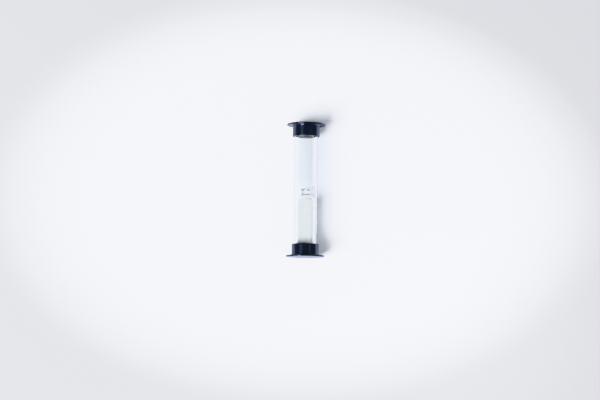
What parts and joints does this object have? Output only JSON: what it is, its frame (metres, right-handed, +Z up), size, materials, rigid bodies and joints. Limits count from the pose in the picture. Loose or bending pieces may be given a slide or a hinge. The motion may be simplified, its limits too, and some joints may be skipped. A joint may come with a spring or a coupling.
{
  "type": "sand timer",
  "caption": "Reversible sand timer: a sealed glass double bulb with pale sand, cushioned inside a clear tube between flanged black end caps that it stands on.",
  "frame": {"origin": "centre of the base cap's flat outer face, which the timer stands on", "axes": "+Z up along the timer's axis, from the sand-filled bulb to the empty one; the timer is round, so X and Y are free"},
  "size_m": [0.026, 0.026, 0.09],
  "materials": {
    "cap_plastic": "gloss",
    "tube_plastic": "polished",
    "bulb_glass": "polished",
    "sand": "matte",
    "foam": "matte"
  },
  "bodies": {
    "root": {"base_cap": "cap_plastic", "top_cap": "cap_plastic", "clear_tube": "tube_plastic", "glass_ampoule": "bulb_glass", "sand_fill": "sand", "base_pad": "foam", "top_pad": "foam"}
  },
  "joints": []
}
